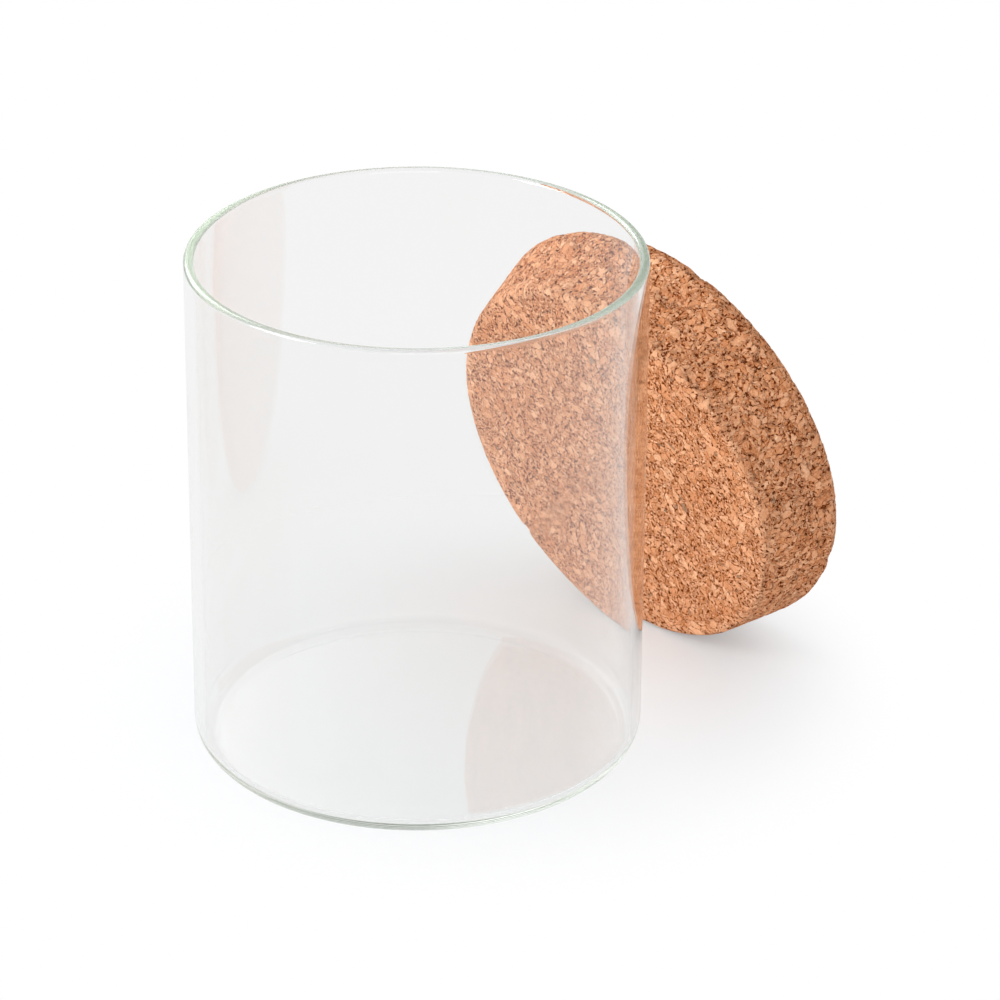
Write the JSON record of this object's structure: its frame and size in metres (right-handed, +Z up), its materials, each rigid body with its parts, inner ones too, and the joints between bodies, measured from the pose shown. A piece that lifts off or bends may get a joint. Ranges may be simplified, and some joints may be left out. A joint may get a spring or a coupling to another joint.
{
  "type": "glass jar with cork lid",
  "caption": "Straight-sided clear glass food jar with a flat base and open round mouth, its tapered cork lid taken off and lying on its side against the jar's wall.",
  "frame": {"origin": "middle of the jar's flat base, on the table", "axes": "+Z up along the jar's axis and out of its mouth, +X from the jar towards the lid lying beside it"},
  "size_m": [0.1451, 0.1018, 0.116],
  "materials": {
    "clear_glass": "clear, smooth and fire-polished, with a faint green tint seen along the lip and base",
    "agglomerated_cork": null
  },
  "bodies": {
    "jar": {"glass_jar": "clear_glass"},
    "lid": {"cork_lid": "agglomerated_cork"}
  },
  "joints": [
    {"name": "lid_lift", "type": "slide", "parent": "jar", "child": "lid", "axis": [0, 0, 1], "range_m": [0, 0.13]}
  ]
}
